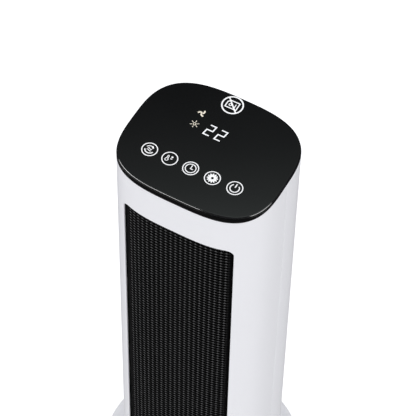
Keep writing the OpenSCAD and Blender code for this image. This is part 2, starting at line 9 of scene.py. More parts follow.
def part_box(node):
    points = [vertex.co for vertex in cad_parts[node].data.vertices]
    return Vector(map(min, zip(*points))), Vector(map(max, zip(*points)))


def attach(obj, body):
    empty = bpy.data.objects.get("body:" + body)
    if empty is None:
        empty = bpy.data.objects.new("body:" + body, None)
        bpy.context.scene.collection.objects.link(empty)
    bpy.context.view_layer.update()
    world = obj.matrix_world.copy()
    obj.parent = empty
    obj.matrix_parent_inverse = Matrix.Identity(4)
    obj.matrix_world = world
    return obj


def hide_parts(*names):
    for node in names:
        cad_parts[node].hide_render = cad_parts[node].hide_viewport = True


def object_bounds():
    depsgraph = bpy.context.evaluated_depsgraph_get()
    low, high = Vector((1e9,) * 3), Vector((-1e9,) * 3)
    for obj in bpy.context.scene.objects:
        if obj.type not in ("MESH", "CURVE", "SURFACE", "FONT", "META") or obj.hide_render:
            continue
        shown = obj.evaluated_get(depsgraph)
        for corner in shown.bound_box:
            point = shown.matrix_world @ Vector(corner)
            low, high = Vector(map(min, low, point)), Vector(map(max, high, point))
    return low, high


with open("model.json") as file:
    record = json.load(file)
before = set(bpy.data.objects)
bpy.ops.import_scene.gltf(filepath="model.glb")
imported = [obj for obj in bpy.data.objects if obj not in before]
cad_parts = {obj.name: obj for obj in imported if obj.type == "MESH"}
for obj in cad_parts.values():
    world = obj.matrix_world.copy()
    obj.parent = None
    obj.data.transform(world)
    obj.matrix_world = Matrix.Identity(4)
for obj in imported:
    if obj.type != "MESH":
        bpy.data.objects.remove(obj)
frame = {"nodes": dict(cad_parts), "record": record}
record = frame["record"]
mm = 0.001
cad_low, cad_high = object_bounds()

# ============================================================ Camera
# A long lens about two metres away looks steeply down on the front right corner of the tower's top.
# Only the top third of the tower is in view.
eye = Vector((0.58288, -1.09714, 2.18862))
to_the_right = Vector((0.87324, 0.48706, 0.01472))
upwards = Vector((-0.40182, 0.70266, 0.58720))
towards_eye = Vector((0.27566, -0.51868, 0.80931))
camera = bpy.data.objects.new("camera", bpy.data.cameras.new("camera"))
camera.data.sensor_width = 36
camera.data.lens = 193.66
camera.data.clip_end = 50
facing = Matrix((to_the_right, upwards, towards_eye)).transposed()
camera.matrix_world = Matrix.Translation(eye) @ facing.to_4x4()
bpy.context.scene.collection.objects.link(camera)
bpy.context.scene.camera = camera

# ============================================================ Floor and lights
# A white floor and soft lamps, as in a light tent. The tent's walls are the world's even glow, which
# mirrors only weakly, as if black flags hung out of view. A dim card hangs where the glass panel
# mirrors it, so that the panel stays black behind and pales a little to the front.
wall_glow, mirrored_wall_glow = 0.79, 0.07
floor_reach, floor_glow = 7, 0.55
floor_level = cad_low.z - 0.3 * mm
strip_low, strip_high = 0.5, 2.1
strips = (("left_strip", (-2.1, -0.5), (-0.45, -2.5), 6), ("right_strip", (1.6, -0.8), (1.6, 0.55), 5))
card_middle = Vector((-0.335, 0.63, cad_high.z + 0.93))
card_half = 0.3
card_glow = 0.19
card_growth = (0.255 * 17, -0.446 * 17, 0)
bpy.context.scene.view_settings.view_transform = "Standard"


def feed(node, inputs):
    """Sets a shader node's sockets, each to a constant or to the output of another node."""
    for socket, value in inputs.items():
        if isinstance(value, bpy.types.NodeSocket):
            node.id_data.links.new(value, node.inputs[socket])
        else:
            node.inputs[socket].default_value = value


def add_node(tree, kind, inputs=None, **options):
    """Adds a shader node, sets its options and then its sockets."""
    node = tree.nodes.new("ShaderNode" + kind)
    for option, value in options.items():
        setattr(node, option, value)
    feed(node, inputs or {})
    return node


def new_material(name):
    """A new material, its node tree and its main shader."""
    material = bpy.data.materials.new(name)
    material.use_nodes = True
    return material, material.node_tree, material.node_tree.nodes["Principled BSDF"]


def glowing_card(name, corners, colour, strength, paper_white=0.9):
    """A flat card of four corners that glows evenly and scatters light as paper does."""
    mesh = bpy.data.meshes.new(name)
    mesh.from_pydata(corners, [], [(0, 1, 2, 3)])
    card = bpy.data.objects.new(name, mesh)
    bpy.context.scene.collection.objects.link(card)
    paper, _, shader = new_material(name)
    feed(shader, {"Base Color": (paper_white, paper_white, paper_white, 1), "Roughness": 0.9,
                  "Emission Color": (*colour, 1), "Emission Strength": strength})
    mesh.materials.append(paper)
    card.visible_camera = paper_white > 0
    return card


def level_corners(middle_x, middle_y, half, height, turns):
    """Corners of a level square. The turns give the signs of its corners, in order."""
    return [(middle_x + half * x, middle_y + half * y, height) for x, y in turns]


tent = bpy.data.worlds.new("light_tent")
tent.use_nodes = True
ray = add_node(tent.node_tree, "LightPath")
wall_strength = add_node(tent.node_tree, "MapRange", {
    "Value": ray.outputs["Is Glossy Ray"], "To Min": wall_glow, "To Max": mirrored_wall_glow})
feed(tent.node_tree.nodes["Background"], {
    "Color": (0.955, 0.96, 1.0, 1), "Strength": wall_strength.outputs["Result"]})
bpy.context.scene.world = tent

facing_up = ((-1, -1), (1, -1), (1, 1), (-1, 1))
floor = glowing_card("floor", level_corners(0, 0, floor_reach, floor_level, facing_up),
                     (0.9, 0.9, 0.9), floor_glow)
floor.visible_glossy = False

for name, start, end, strength in strips:
    strip = glowing_card(name, [(*start, strip_low), (*end, strip_low), (*end, strip_high),
                                (*start, strip_high)], (1, 1, 1), strength, paper_white=0)
    strip.visible_diffuse = False
    strip.visible_shadow = False

facing_down = ((-1, -1), (-1, 1), (1, 1), (1, -1))
dim_card = glowing_card("dim_card", level_corners(card_middle.x, card_middle.y, card_half,
                                                  card_middle.z, facing_down),
                        (0.9, 1.0, 0.97), card_glow, paper_white=0)
card_tree = dim_card.data.materials[0].node_tree
from_middle = add_node(card_tree, "VectorMath", {
    0: add_node(card_tree, "TexCoord").outputs["Object"], 1: card_middle}, operation="SUBTRACT")
growing = add_node(card_tree, "VectorMath", {
    0: from_middle.outputs["Vector"], 1: card_growth}, operation="DOT_PRODUCT")
steeply = add_node(card_tree, "Math", {0: growing.outputs["Value"]}, operation="EXPONENT")
card_strength = add_node(card_tree, "Math", {0: steeply.outputs[0], 1: card_glow}, operation="MULTIPLY")
feed(card_tree.nodes["Principled BSDF"], {"Emission Strength": card_strength.outputs[0]})


def soft_lamp(name, place, power, colour=(1, 1, 1)):
    """A square area lamp at a place, turned to shine at the tower's upper part."""
    lamp = bpy.data.objects.new(name, bpy.data.lights.new(name, "AREA"))
    lamp.data.shape = "SQUARE"
    lamp.data.size = 0.5
    lamp.data.energy = power
    lamp.data.color = colour
    lamp.location = place
    lamp.rotation_euler = (Vector((0, 0, 0.5)) - Vector(place)).to_track_quat("-Z", "Y").to_euler()
    bpy.context.scene.collection.objects.link(lamp)


soft_lamp("left_lamp", (-1.45, -1.0, 1.57), 1.9, (0.98, 0.99, 1.0))
soft_lamp("right_lamp", (1.56, -0.18, 1.83), 1.6)

# ============================================================ White moulded plastic
# The shells and the base are injection-moulded in one white plastic with a satin face.
# Its finish is almost even: a faint mottle in the colour and the fine spark-eroded grain of the mould.
FLOAT, COLOUR = "NodeSocketFloat", "NodeSocketColor"
# A Mix node names its sockets alike for every kind of value, so its colour sockets go by number.
MIX_SHARE, MIX_FIRST, MIX_SECOND, MIX_RESULT = 0, 6, 7, 2
relief_depth = 0.2 * mm


def node_group(name, inputs, outputs):
    """A shader node group with named sockets: inputs are (name, kind, value) and outputs (name, kind).
    It comes with the two nodes that stand for its inputs and its outputs inside it."""
    group = bpy.data.node_groups.new(name, "ShaderNodeTree")
    for label, kind, value in inputs:
        socket = group.interface.new_socket(label, in_out="INPUT", socket_type=kind)
        socket.default_value = value
    for label, kind in outputs:
        group.interface.new_socket(label, in_out="OUTPUT", socket_type=kind)
    return group, group.nodes.new("NodeGroupInput").outputs, group.nodes.new("NodeGroupOutput")


moulded_grain, asked, grain_made = node_group(
    "moulded_grain",
    [("Colour", COLOUR, (0.8, 0.8, 0.8, 1)), ("Mottle Colour", COLOUR, (0.75, 0.75, 0.75, 1)),
     ("Mottle Size", FLOAT, 12.0), ("Grain Size", FLOAT, 1800.0),
     ("Smoothest", FLOAT, 0.3), ("Roughest", FLOAT, 0.4)],
    [("Colour", COLOUR), ("Roughness", FLOAT), ("Height", FLOAT)])
where = add_node(moulded_grain, "TexCoord").outputs["Object"]
mottle = add_node(moulded_grain, "TexNoise", {
    "Vector": where, "Scale": asked["Mottle Size"], "Detail": 3}).outputs["Fac"]
grain = add_node(moulded_grain, "TexNoise", {
    "Vector": where, "Scale": asked["Grain Size"], "Detail": 2}).outputs["Fac"]
tint = add_node(moulded_grain, "Mix", {
    MIX_SHARE: mottle, MIX_FIRST: asked["Colour"], MIX_SECOND: asked["Mottle Colour"]},
    data_type="RGBA")
gloss = add_node(moulded_grain, "MapRange", {
    "Value": mottle, "To Min": asked["Smoothest"], "To Max": asked["Roughest"]})
feed(grain_made, {"Colour": tint.outputs[MIX_RESULT], "Roughness": gloss.outputs["Result"],
                  "Height": grain})


def add_grain(tree, colour, second, mottle_size, grain_size, gloss_range):
    """Puts the grain group in a finish, between two colours and two roughnesses."""
    return add_node(tree, "Group", {
        "Colour": (*colour, 1), "Mottle Colour": (*second, 1), "Mottle Size": mottle_size,
        "Grain Size": grain_size, "Smoothest": gloss_range[0], "Roughest": gloss_range[1],
    }, node_tree=moulded_grain).outputs


def moulded(name, colour, second, mottle_size, grain_size, gloss_range, relief=0.02,
            metallic=0.0, specular=0.5):
    """A finish whose colour, roughness and shallow relief all come from the grain group."""
    material, tree, shader = new_material(name)
    grained = add_grain(tree, colour, second, mottle_size, grain_size, gloss_range)
    bump = add_node(tree, "Bump", {
        "Strength": relief, "Distance": relief_depth, "Height": grained["Height"]})
    feed(shader, {"Metallic": metallic, "Specular IOR Level": specular,
                  "Base Color": grained["Colour"], "Roughness": grained["Roughness"],
                  "Normal": bump.outputs["Normal"]})
    return material


white_plastic = moulded("white_plastic", (0.87, 0.87, 0.885), (0.845, 0.845, 0.86), 9, 1500,
                        (0.3, 0.38), 0.06, specular=0.25)

# ============================================================ Base
# A low round moulding, 220 mm across, with a well-rounded rim. It is open below and has a round hole
# on top for the hub, and one behind for the mains lead's inlet. Four screws hold its bottom plate.
base_low, base_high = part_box("base_shell")
base_radius = base_high.x
base_wall = 2.5 * mm
base_round = 10 * mm
hub_edge = base_radius - 18 * mm
inlet_radius = 5.5 * mm
inlet_fillet = 0.4 * mm
inner_edge = 0.2 * mm
inlet_columns, other_columns, side_rows = 17, 177, 13


def middle_height(node):
    """The height of the middle of a part's box."""
    low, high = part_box(node)
    return (low.z + high.z) / 2


def grid_faces(rows, columns, closed):
    """Four-cornered faces between neighbouring rows and columns of a grid of points, numbered row by
    row. Closed means that the last column joins the first."""
    last = columns if closed else columns - 1
    row, column = np.meshgrid(np.arange(rows - 1), np.arange(last), indexing="ij")
    beside = (column + 1) % columns
    return np.stack([row * columns + column, row * columns + beside,
                     (row + 1) * columns + beside, (row + 1) * columns + column], -1).reshape(-1, 4)


def fuse(parts):
    """Puts several (points, closed) grids in one list of points and one of faces."""
    points, faces, used = [], [], 0
    for grid, closed in parts:
        rows, columns = grid.shape[:2]
        points.append(grid.reshape(-1, 3))
        faces.append(grid_faces(rows, columns, closed) + used)
        used += rows * columns
    return np.concatenate(points), np.concatenate(faces)


def make_piece(name, points, faces, material, body, slot, stands_for=(), polished=None):
    """Makes a closed mesh from points in metres and four-cornered faces. Points in one place become
    one, faces that close up to a line are dropped or become triangles, and the faces are turned
    outwards. The last argument is a share for each point that the material reads: on the front mesh it
    sets a painted highlight at the joints, and on the glass it raises the edge's gloss."""
    keys = np.floor(points * 1e6 + 0.3137).astype(np.int64)
    _, first, number = np.unique(keys, axis=0, return_index=True, return_inverse=True)
    number = number.reshape(-1)
    points, faces = points[first], number[faces]
    same = faces == np.roll(faces, -1, axis=1)
    crossed = (faces[:, 0] == faces[:, 2]) | (faces[:, 1] == faces[:, 3])
    kept = faces[(same.sum(1) == 0) & ~crossed].tolist()
    for corner in range(4):
        pinched = faces[(same.sum(1) == 1) & same[:, corner]]
        kept += np.delete(pinched, corner, axis=1).tolist()
    mesh = bpy.data.meshes.new(name)
    mesh.from_pydata(points.tolist(), [], kept)
    shape = bmesh.new()
    shape.from_mesh(mesh)
    bmesh.ops.recalc_face_normals(shape, faces=shape.faces)
    shape.to_mesh(mesh)
    shape.free()
    mesh.polygons.foreach_set("use_smooth", np.ones(len(mesh.polygons), bool))
    if polished is not None:
        share = np.zeros(len(points), np.float32)
        np.maximum.at(share, number, polished)
        mesh.attributes.new("polished", "FLOAT", "POINT").data.foreach_set("value", share)
    mesh.materials.append(material)
    piece = bpy.data.objects.new(name, mesh)
    bpy.context.scene.collection.objects.link(piece)
    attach(piece, body)
    if stands_for:
        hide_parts(*stands_for)


def quarter(radius, steps=5):
    """Steps along a quarter circle: how far back from the edge and how deep, from (radius, 0) to
    (0, radius)."""
    angle = np.linspace(0, np.pi / 2, steps + 1)
    return np.stack([radius * (1 - np.sin(angle)), radius * (1 - np.cos(angle))], 1)


def four_sides(*sides):
    """Joins four sides into a loop, anticlockwise from the bottom left. Each side is a pair, (places
    along the surface, heights), either of which may be one number, and its last point is left out."""
    return np.concatenate([np.stack(np.broadcast_arrays(*side), 1)[:-1] for side in sides])


def rounded_loop(half_run, half_rise, radius, across, up):
    """Points round a rounded rectangle about (0, 0). across and up are shares of the half sides, from
    -1 to 1. The ends of each side bend onto the corner arcs, 45 degrees each."""
    def side(share, half_side, half_off):
        run = share * half_side
        bend = np.clip(np.abs(run) - (half_side - radius), 0, radius) / radius * np.pi / 4
        along = np.where(bend > 0, np.sign(run) * (half_side - radius + radius * np.sin(bend)), run)
        return along, half_off - radius * (1 - np.cos(bend))
    run, off = side(across, half_run, half_rise)
    rise, out = side(up, half_rise, half_run)
    return four_sides((run, -off), (out, rise), (run[::-1], off), (-out, rise[::-1]))


def frame_loop(across, up):
    """Points round a rectangle of a grid's own columns and rows."""
    return four_sides((across, up[0]), (across[-1], up), (across[::-1], up[-1]), (across[0], up[::-1]))


def spread(first, last, rows):
    """Evenly spaced rows of points from one row to another."""
    share = np.linspace(0, 1, rows + 1)[:, None, None]
    return first[None] * (1 - share) + last[None] * share


def with_depth(loop, depth):
    """Adds a depth under the surface to points that have a place along it and a height."""
    return np.column_stack([loop, np.full(len(loop), depth)])


def sheet(across, up, depth):
    """A rectangle of a grid's own columns and rows at one depth."""
    return np.stack(np.broadcast_arrays(*np.meshgrid(across, up, indexing="ij"), depth), -1)


def pierced(border_outer, border_inner, hole, wall, fillet, rows):
    """A patch of wall with a hole. Its rows run from the border over the outer face to the hole, round
    the hole's rounded edge, through the wall, and back over the inner face to the border."""
    bend = [with_depth(hole(back, depth), depth) for back, depth in quarter(fillet)[1:]]
    through = with_depth(hole(0, wall - inner_edge), wall - inner_edge)
    under = with_depth(hole(inner_edge, wall), wall)
    return np.concatenate([
        spread(with_depth(border_outer, 0), with_depth(hole(fillet, 0), 0), rows),
        np.stack(bend + [through]),
        spread(under, with_depth(border_inner, wall), rows)])


def place_on_base(grid):
    """Wraps (arc length from the rear, height, depth) onto the base's upright side."""
    angle = np.pi / 2 + grid[..., 0] / base_radius
    radius = base_radius - grid[..., 2]
    return np.stack([radius * np.cos(angle), radius * np.sin(angle), grid[..., 1]], -1)


def inlet_hole(back, depth):
    """The round hole behind, cut straight in, so it is the same at every depth."""
    radius = inlet_radius + back
    loop = rounded_loop(radius, radius, radius, np.linspace(-1, 1, inlet_columns),
                        np.linspace(-1, 1, side_rows))
    return loop + [0, middle_height("cord_inlet")]


inlet_reach = 0.11 * base_radius
around = np.concatenate([
    np.linspace(-inlet_reach, inlet_reach, inlet_columns)[:-1],
    np.linspace(inlet_reach, 2 * np.pi * base_radius - inlet_reach, other_columns)])
side_low, side_high = base_low.z + 0.6 * mm, base_high.z - base_round
side_heights = np.linspace(side_low, side_high, side_rows)
inlet_frame = frame_loop(around[:inlet_columns], side_heights)
inlet_patch = pierced(inlet_frame, inlet_frame, inlet_hole, base_wall, inlet_fillet, 4)
base_parts = [(place_on_base(inlet_patch), True)]
for depth in (0, base_wall):
    rest_of_side = sheet(around[inlet_columns - 1:], side_heights, depth)
    base_parts.append((place_on_base(rest_of_side), False))


def base_turn(profile):
    """Turns a line of (distance inwards from the rim, height) once round the base's axis."""
    angle = np.pi / 2 + around[:-1] / base_radius
    radius = base_radius - profile[:, :1]
    height = np.repeat(profile[:, 1:], len(angle), 1)
    return np.stack([radius * np.cos(angle), radius * np.sin(angle), height], -1)


def rim_arc(inset, radius):
    """The quarter of a circle from the upright side to the level top, at a distance inside the face."""
    angle = np.linspace(0, np.pi / 2, 13)
    return np.stack([inset + radius * (1 - np.cos(angle)), side_high + radius * np.sin(angle)], 1)


top = base_high.z
level = np.linspace(base_round, hub_edge - 0.5 * mm, 9)[1:]
over_the_top = np.concatenate([
    rim_arc(0, base_round), np.stack([level, np.full(len(level), top)], 1),
    [[hub_edge - 0.15 * mm, top - 0.15 * mm], [hub_edge, top - 0.5 * mm],
     [hub_edge, top - base_wall], [level[3], top - base_wall]],
    rim_arc(base_wall, base_round - base_wall)[::-1]])
foot_edge = np.array([[0, side_low], [0.1 * mm, base_low.z + 0.25 * mm], [0.5 * mm, base_low.z],
                      [base_wall, base_low.z], [base_wall, side_low]])
base_parts += [(base_turn(over_the_top), True), (base_turn(foot_edge), True)]
make_piece("base_body", *fuse(base_parts), white_plastic, "base", "white_plastic", ["base_shell"])

# ============================================================ Tower shells
# Two white mouldings meet in a fine seam down both sides. Seen from above, the tower is a rounded
# rectangle without any straight line: |x/a|^n + |y/b|^n = 1, squarer in front than behind.
shell_low, shell_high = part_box("front_shell")
half_width, half_depth = shell_high.x, -shell_low.y
front_power, rear_power = 3.3, 3.0
shell_wall = 2.4 * mm
shell_edge = 0.4 * mm
rim_slope, slope_start, slope_bend = 0.0948, -8 * mm, 5 * mm
opening_half, opening_low, opening_high = 58 * mm, 96 * mm, 518 * mm
opening_round, opening_fillet = 8 * mm, 1.3 * mm
front_columns, front_rows = 56, 72
outline_steps = 40000
bearing = np.linspace(-np.pi / 2, 3 * np.pi / 2, outline_steps + 1)
power = np.where(np.sin(bearing) < 0, front_power, rear_power)
reach = (np.abs(np.cos(bearing) / half_width) ** power
         + np.abs(np.sin(bearing) / half_depth) ** power) ** (-1 / power)
line_x, line_y = reach * np.cos(bearing), reach * np.sin(bearing)
walked = np.concatenate([[0], np.cumsum(np.hypot(np.diff(line_x), np.diff(line_y)))])
girth = walked[-1]
lean_x = np.sign(line_x) * np.abs(line_x / half_width) ** (power - 1) / half_width
lean_y = np.sign(line_y) * np.abs(line_y / half_depth) ** (power - 1) / half_depth
lean = np.hypot(lean_x, lean_y)
lean_x, lean_y = lean_x / lean, lean_y / lean


def place_on_tower(grid):
    """Wraps (distance walked round the outline from the middle of the front, height, depth) onto the
    tower: the outline's point at that distance, moved inwards by the depth at right angles to it."""
    walk = np.mod(grid[..., 0], girth)
    x = np.interp(walk, walked, line_x) - grid[..., 2] * np.interp(walk, walked, lean_x)
    y = np.interp(walk, walked, line_y) - grid[..., 2] * np.interp(walk, walked, lean_y)
    return np.stack([x, y, grid[..., 1]], -1)


def walk_to(sideways, depth, behind=False):
    """How far to walk round the outline to stand that far to one side, at a depth under the surface.
    It counts to the right in front, and to the left behind, so it grows the same way as the walk."""
    here = line_x - depth * lean_x
    if behind:
        back = slice(outline_steps // 4, 3 * outline_steps // 4 + 1)
        return np.interp(sideways, -here[back], walked[back])
    front = line_y < 0
    walk = np.where(walked > girth / 2, walked - girth, walked)
    order = np.argsort(here[front])
    return np.interp(sideways, here[front][order], walk[front][order])


def rim_line(walk):
    """Height of the joint between the shells and the black rim: level at the sides and behind, and
    falling in a straight slope to the front, with a soft bend where the slope starts."""
    ahead = slope_start - np.interp(np.mod(walk, girth), walked, line_y)
    return shell_high.z - rim_slope * (ahead + np.sqrt(ahead ** 2 + slope_bend ** 2)) / 2


def crowd(segments, pull):
    """Shares from -1 to 1 that crowd towards both ends, so that the corners get more points."""
    share = np.linspace(-1, 1, segments + 1)
    return np.sign(share) * (1 - (1 - np.abs(share)) ** pull)


right_half = slice(outline_steps // 2 + 1)
seam_walk = np.interp(shell_high.y, line_y[right_half], walked[right_half])


def front_border(back):
    """The front shell's outer border, set back from its edges: seam, rim line and bottom edge."""
    side = seam_walk - back
    across = crowd(front_columns, 1.25) * side
    low, high = shell_low.z + back, shell_high.z - back
    up = (crowd(front_rows, 1.5) + 1) / 2 * (high - low) + low
    return four_sides((across, low), (side, up), (across[::-1], rim_line(across[::-1]) - back),
                      (-side, up[::-1]))


def opening_edge(back, depth):
    """The opening's edge, cut straight back through the curved wall."""
    loop = rounded_loop(opening_half + back, (opening_high - opening_low) / 2 + back,
                        opening_round + back, crowd(front_columns, 1.6), crowd(front_rows, 2.2))
    loop[:, 1] += (opening_high + opening_low) / 2
    loop[:, 0] = walk_to(loop[:, 0], depth)
    return loop


def edge_rows(border):
    """The rows that close a shell's outer border: rounded outside, nearly sharp inside."""
    rows = [with_depth(border(back), depth) for back, depth in quarter(shell_edge)]
    rows.append(with_depth(border(0), shell_wall - inner_edge))
    rows.append(with_depth(border(inner_edge), shell_wall))
    return np.stack(rows)


front_sheet = pierced(front_border(shell_edge), front_border(inner_edge), opening_edge, shell_wall,
                      opening_fillet, 34)
front_parts = [(place_on_tower(grid), True) for grid in (front_sheet, edge_rows(front_border))]
make_piece("tower_front", *fuse(front_parts), white_plastic, "tower", "white_plastic",
           ["front_shell"])

# ============================================================ Rear shell
# The rear moulding has a window for the filter panel, a hole for the hand grip, one for the mains
# switch, and six deep wells for the screws that hold the two shells together.
screw_side = 73 * mm
screw_heights = (60 * mm, 290 * mm, 535 * mm)
well_hole = 3.5 * mm
well_room = 11 * mm
middle_room = 50 * mm
half_girth = girth / 2
well_walk = walk_to(screw_side, 0, behind=True) - half_girth
rear_reach = half_girth - (seam_walk + 0.1 * mm)
# The wall is a grid of patches. A patch with a hole spans some of these stops; the rest is plain.
column_stops = [-rear_reach, -well_walk - well_room, -well_walk + well_room, -middle_room,
                middle_room, well_walk - well_room, well_walk + well_room, rear_reach]
column_steps = [7, 10, 5, 32, 5, 10, 7]
row_stops = [z * mm for z in (31, 51, 69, 93, 124, 281, 299, 438, 464, 516, 526, 544, 567)]
row_steps = [5, 8, 8, 5, 22, 8, 22, 5, 18, 3, 8, 5]
# Each hole: its columns and rows of patches, sideways place, height, half width, half height, corner
# radius, how much its points crowd to the corners, and the rounding of its outer edge.
holes = [(columns, rows, side * screw_side, height, well_hole, well_hole, well_hole, 1, 0.3 * mm)
         for side, columns in ((-1, (1, 2)), (1, (5, 6)))
         for height, rows in zip(screw_heights, ((1, 2), (5, 6), (10, 11)))]
for rows, node, half_run, half_rise, radius, pull in (
        ((1, 3), "switch_frame", 11, 9.5, 0.8, 1.8), ((4, 7), "filter_panel", 46, 151, 2.5, 2),
        ((8, 9), "grip_cup", 38, 18, 7, 1.6)):
    holes.append(((3, 4), rows, 0, middle_height(node), half_run * mm, half_rise * mm, radius * mm,
                  pull, 0.8 * mm))


def marks(stops, steps, back):
    """Evenly spaced places between each stop and the next, with both ends set back."""
    runs = [np.linspace(a, b, n + 1)[:-1] for a, b, n in zip(stops[:-1], stops[1:], steps)]
    places = np.concatenate(runs + [[stops[-1]]])
    places[0] += back
    places[-1] -= back
    return places


def patch(columns, rows, back):
    """The grid's own columns and rows between two column stops and two row stops."""
    (c0, c1), (r0, r1) = columns, rows
    across = marks(column_stops, column_steps, back) + half_girth
    up = marks(row_stops, row_steps, back)
    return (across[sum(column_steps[:c0]):sum(column_steps[:c1]) + 1],
            up[sum(row_steps[:r0]):sum(row_steps[:r1]) + 1])


def hole_behind(columns, rows, side, height, half_run, half_rise, radius, pull):
    """A hole in the rear wall, cut straight through along the tower's depth. It has as many points as
    the border of its patch."""
    across = crowd(sum(column_steps[slice(*columns)]), pull)
    up = crowd(sum(row_steps[slice(*rows)]), pull)

    def edge(back, depth):
        loop = rounded_loop(half_run + back, half_rise + back, radius + back, across, up)
        loop[:, 0] = walk_to(loop[:, 0] + side, depth, behind=True)
        loop[:, 1] += height
        return loop
    return edge


def rear_border(back):
    """The rear shell's outer border, set back from its edges."""
    return frame_loop(*patch((0, len(column_steps)), (0, len(row_steps)), back))


rear_parts = []
for columns, rows, *shape, fillet in holes:
    outer, inner = (frame_loop(*patch(columns, rows, back)) for back in (shell_edge, inner_edge))
    edge = hole_behind(columns, rows, *shape)
    rear_parts.append((place_on_tower(pierced(outer, inner, edge, shell_wall, fillet, 6)), True))
for column in range(len(column_steps)):
    for row in range(len(row_steps)):
        if any(c[0] <= column < c[1] and r[0] <= row < r[1] for c, r, *_ in holes):
            continue
        for back, depth in ((shell_edge, 0), (inner_edge, shell_wall)):
            plain = sheet(*patch((column, column + 1), (row, row + 1), back), depth)
            rear_parts.append((place_on_tower(plain), False))
rear_parts.append((place_on_tower(edge_rows(rear_border)), True))
make_piece("tower_back", *fuse(rear_parts), white_plastic, "tower", "white_plastic", ["rear_shell"])

# ============================================================ Screw wells
# Behind the rear wall each screw has a deep round well: a tube that runs forward to the seat its head
# pulls against. The six tubes are part of the rear moulding.
well_outside, well_inside, screw_hole = 5 * mm, 3.42 * mm, 1.55 * mm
well_end, well_seat = 3 * mm, 9 * mm


def wall_line(sideways, depth):
    """How far back the rear wall stands, at a distance to the right and a depth under the surface."""
    walk = walk_to(-sideways, depth, behind=True)
    return place_on_tower(np.stack(np.broadcast_arrays(walk, 0, depth), -1))[..., 1]


def well(side, height):
    """A tube along the depth. Its rows run over the outer skin, round the far end, up the screw's
    hole, across the seat and up the inner skin; both skins start inside the wall."""
    angle = np.linspace(0, 2 * np.pi, 25)[:-1]
    rows = []
    for radius, along in ((well_outside, None), (well_outside, well_end), (screw_hole, well_end),
                          (screw_hole, well_seat), (well_inside, well_seat), (well_inside, None),
                          (well_outside, None)):
        x, z = side * screw_side + radius * np.cos(angle), height + radius * np.sin(angle)
        y = wall_line(x, shell_wall / 2) if along is None else along
        rows.append(np.stack(np.broadcast_arrays(x, y, z), -1))
    return np.stack(rows)


wells = [(well(side, height), True) for side in (-1, 1) for height in screw_heights]
make_piece("screw_wells", *fuse(wells), white_plastic, "tower", "white_plastic")

# ============================================================ Front mesh
# A black moulded mesh stands just behind the opening and follows its curve. Thin upright ribs are
# joined by short strands that slope up and down by turns, so that the strands run across in a zigzag.
mesh_low, mesh_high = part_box("front_grille")
mesh_front, mesh_back = 2.9 * mm, 4.9 * mm
ribs, strands = 43, 96
rib_pitch, strand_pitch, strand_rise = 2.62 * mm, 4.3 * mm, 1.25 * mm
hole_side, hole_rise = 0.83 * mm, 1.42 * mm
ridge = 0.45 * mm
# Pale grey of the painted highlight on the mesh's joints.
painted_highlight_grey = (0.24, 0.24, 0.24, 1)
mesh_floor = (opening_low + opening_high - strand_pitch * strands - strand_rise) / 2
rib_walk = (np.arange(ribs) - (ribs - 1) / 2) * rib_pitch
joint_height = (mesh_floor + strand_pitch * np.arange(strands + 1)[:, None]
                + strand_rise * (np.arange(ribs) % 2))


def four_corners(values, row, column):
    """A value at the four corners of each cell, anticlockwise from the bottom left."""
    return np.stack([values[row, column], values[row, column + 1],
                     values[row + 1, column + 1], values[row + 1, column]], -1)


column, row = np.meshgrid(np.arange(ribs - 1), np.arange(strands), indexing="xy")
corner_walk = four_corners(np.broadcast_to(rib_walk, joint_height.shape), row, column)
corner_height = four_corners(joint_height, row, column)
cell_middle = corner_walk.mean(-1, keepdims=True), corner_height.mean(-1, keepdims=True)
tilt = (corner_height[..., 1:2] - corner_height[..., 0:1]) / rib_pitch
hole_walk = cell_middle[0] + hole_side * np.array([-1, 1, 1, -1])
hole_height = (cell_middle[1] + hole_rise * np.array([-1, -1, 1, 1])
               + tilt * (hole_walk - cell_middle[0]))
cell = np.stack([np.stack(np.broadcast_arrays(walk, height, depth), -1) for walk, height, depth in (
    (corner_walk, corner_height, mesh_front), (hole_walk, hole_height, mesh_front + ridge),
    (hole_walk, hole_height, mesh_back), (corner_walk, corner_height, mesh_back))])
cells = place_on_tower(cell).reshape(4, -1, 4, 3).transpose(1, 0, 2, 3)
cell_faces = np.arange(len(cells))[:, None, None] * 16 + grid_faces(4, 4, True)[None]
side_walk = walk_to(mesh_high.x - 0.2 * mm, mesh_front)
ring_in = four_sides((rib_walk, joint_height[0]), (rib_walk[-1], joint_height[:, -1]),
                     (rib_walk[::-1], joint_height[-1, ::-1]), (rib_walk[0], joint_height[::-1, 0]))
ring_out = frame_loop(np.linspace(-side_walk, side_walk, ribs),
                      np.linspace(mesh_low.z + 0.3 * mm, mesh_high.z - 0.3 * mm, strands + 1))
border = np.concatenate([
    spread(with_depth(ring_in, mesh_front), with_depth(ring_out, mesh_front), 5),
    spread(with_depth(ring_out, mesh_back), with_depth(ring_in, mesh_back), 5)])
border_points, border_faces = fuse([(place_on_tower(border), True)])
mesh_points = np.concatenate([cells.reshape(-1, 3), border_points])
mesh_faces = np.concatenate([cell_faces.reshape(-1, 4), border_faces + cells.size // 3])
# The joints on every second rib get a full painted highlight, pale grey in the colour where a lamp would
# glint, and those on the others a faint one.
mesh_highlight = np.zeros(len(mesh_points))
cell_highlight = mesh_highlight[:cells.size // 3].reshape(-1, 4, 4)
cell_highlight[:, 0] = np.where(np.stack([column, column + 1, column + 1, column], -1) % 2,
                             1, 0.25).reshape(-1, 4)
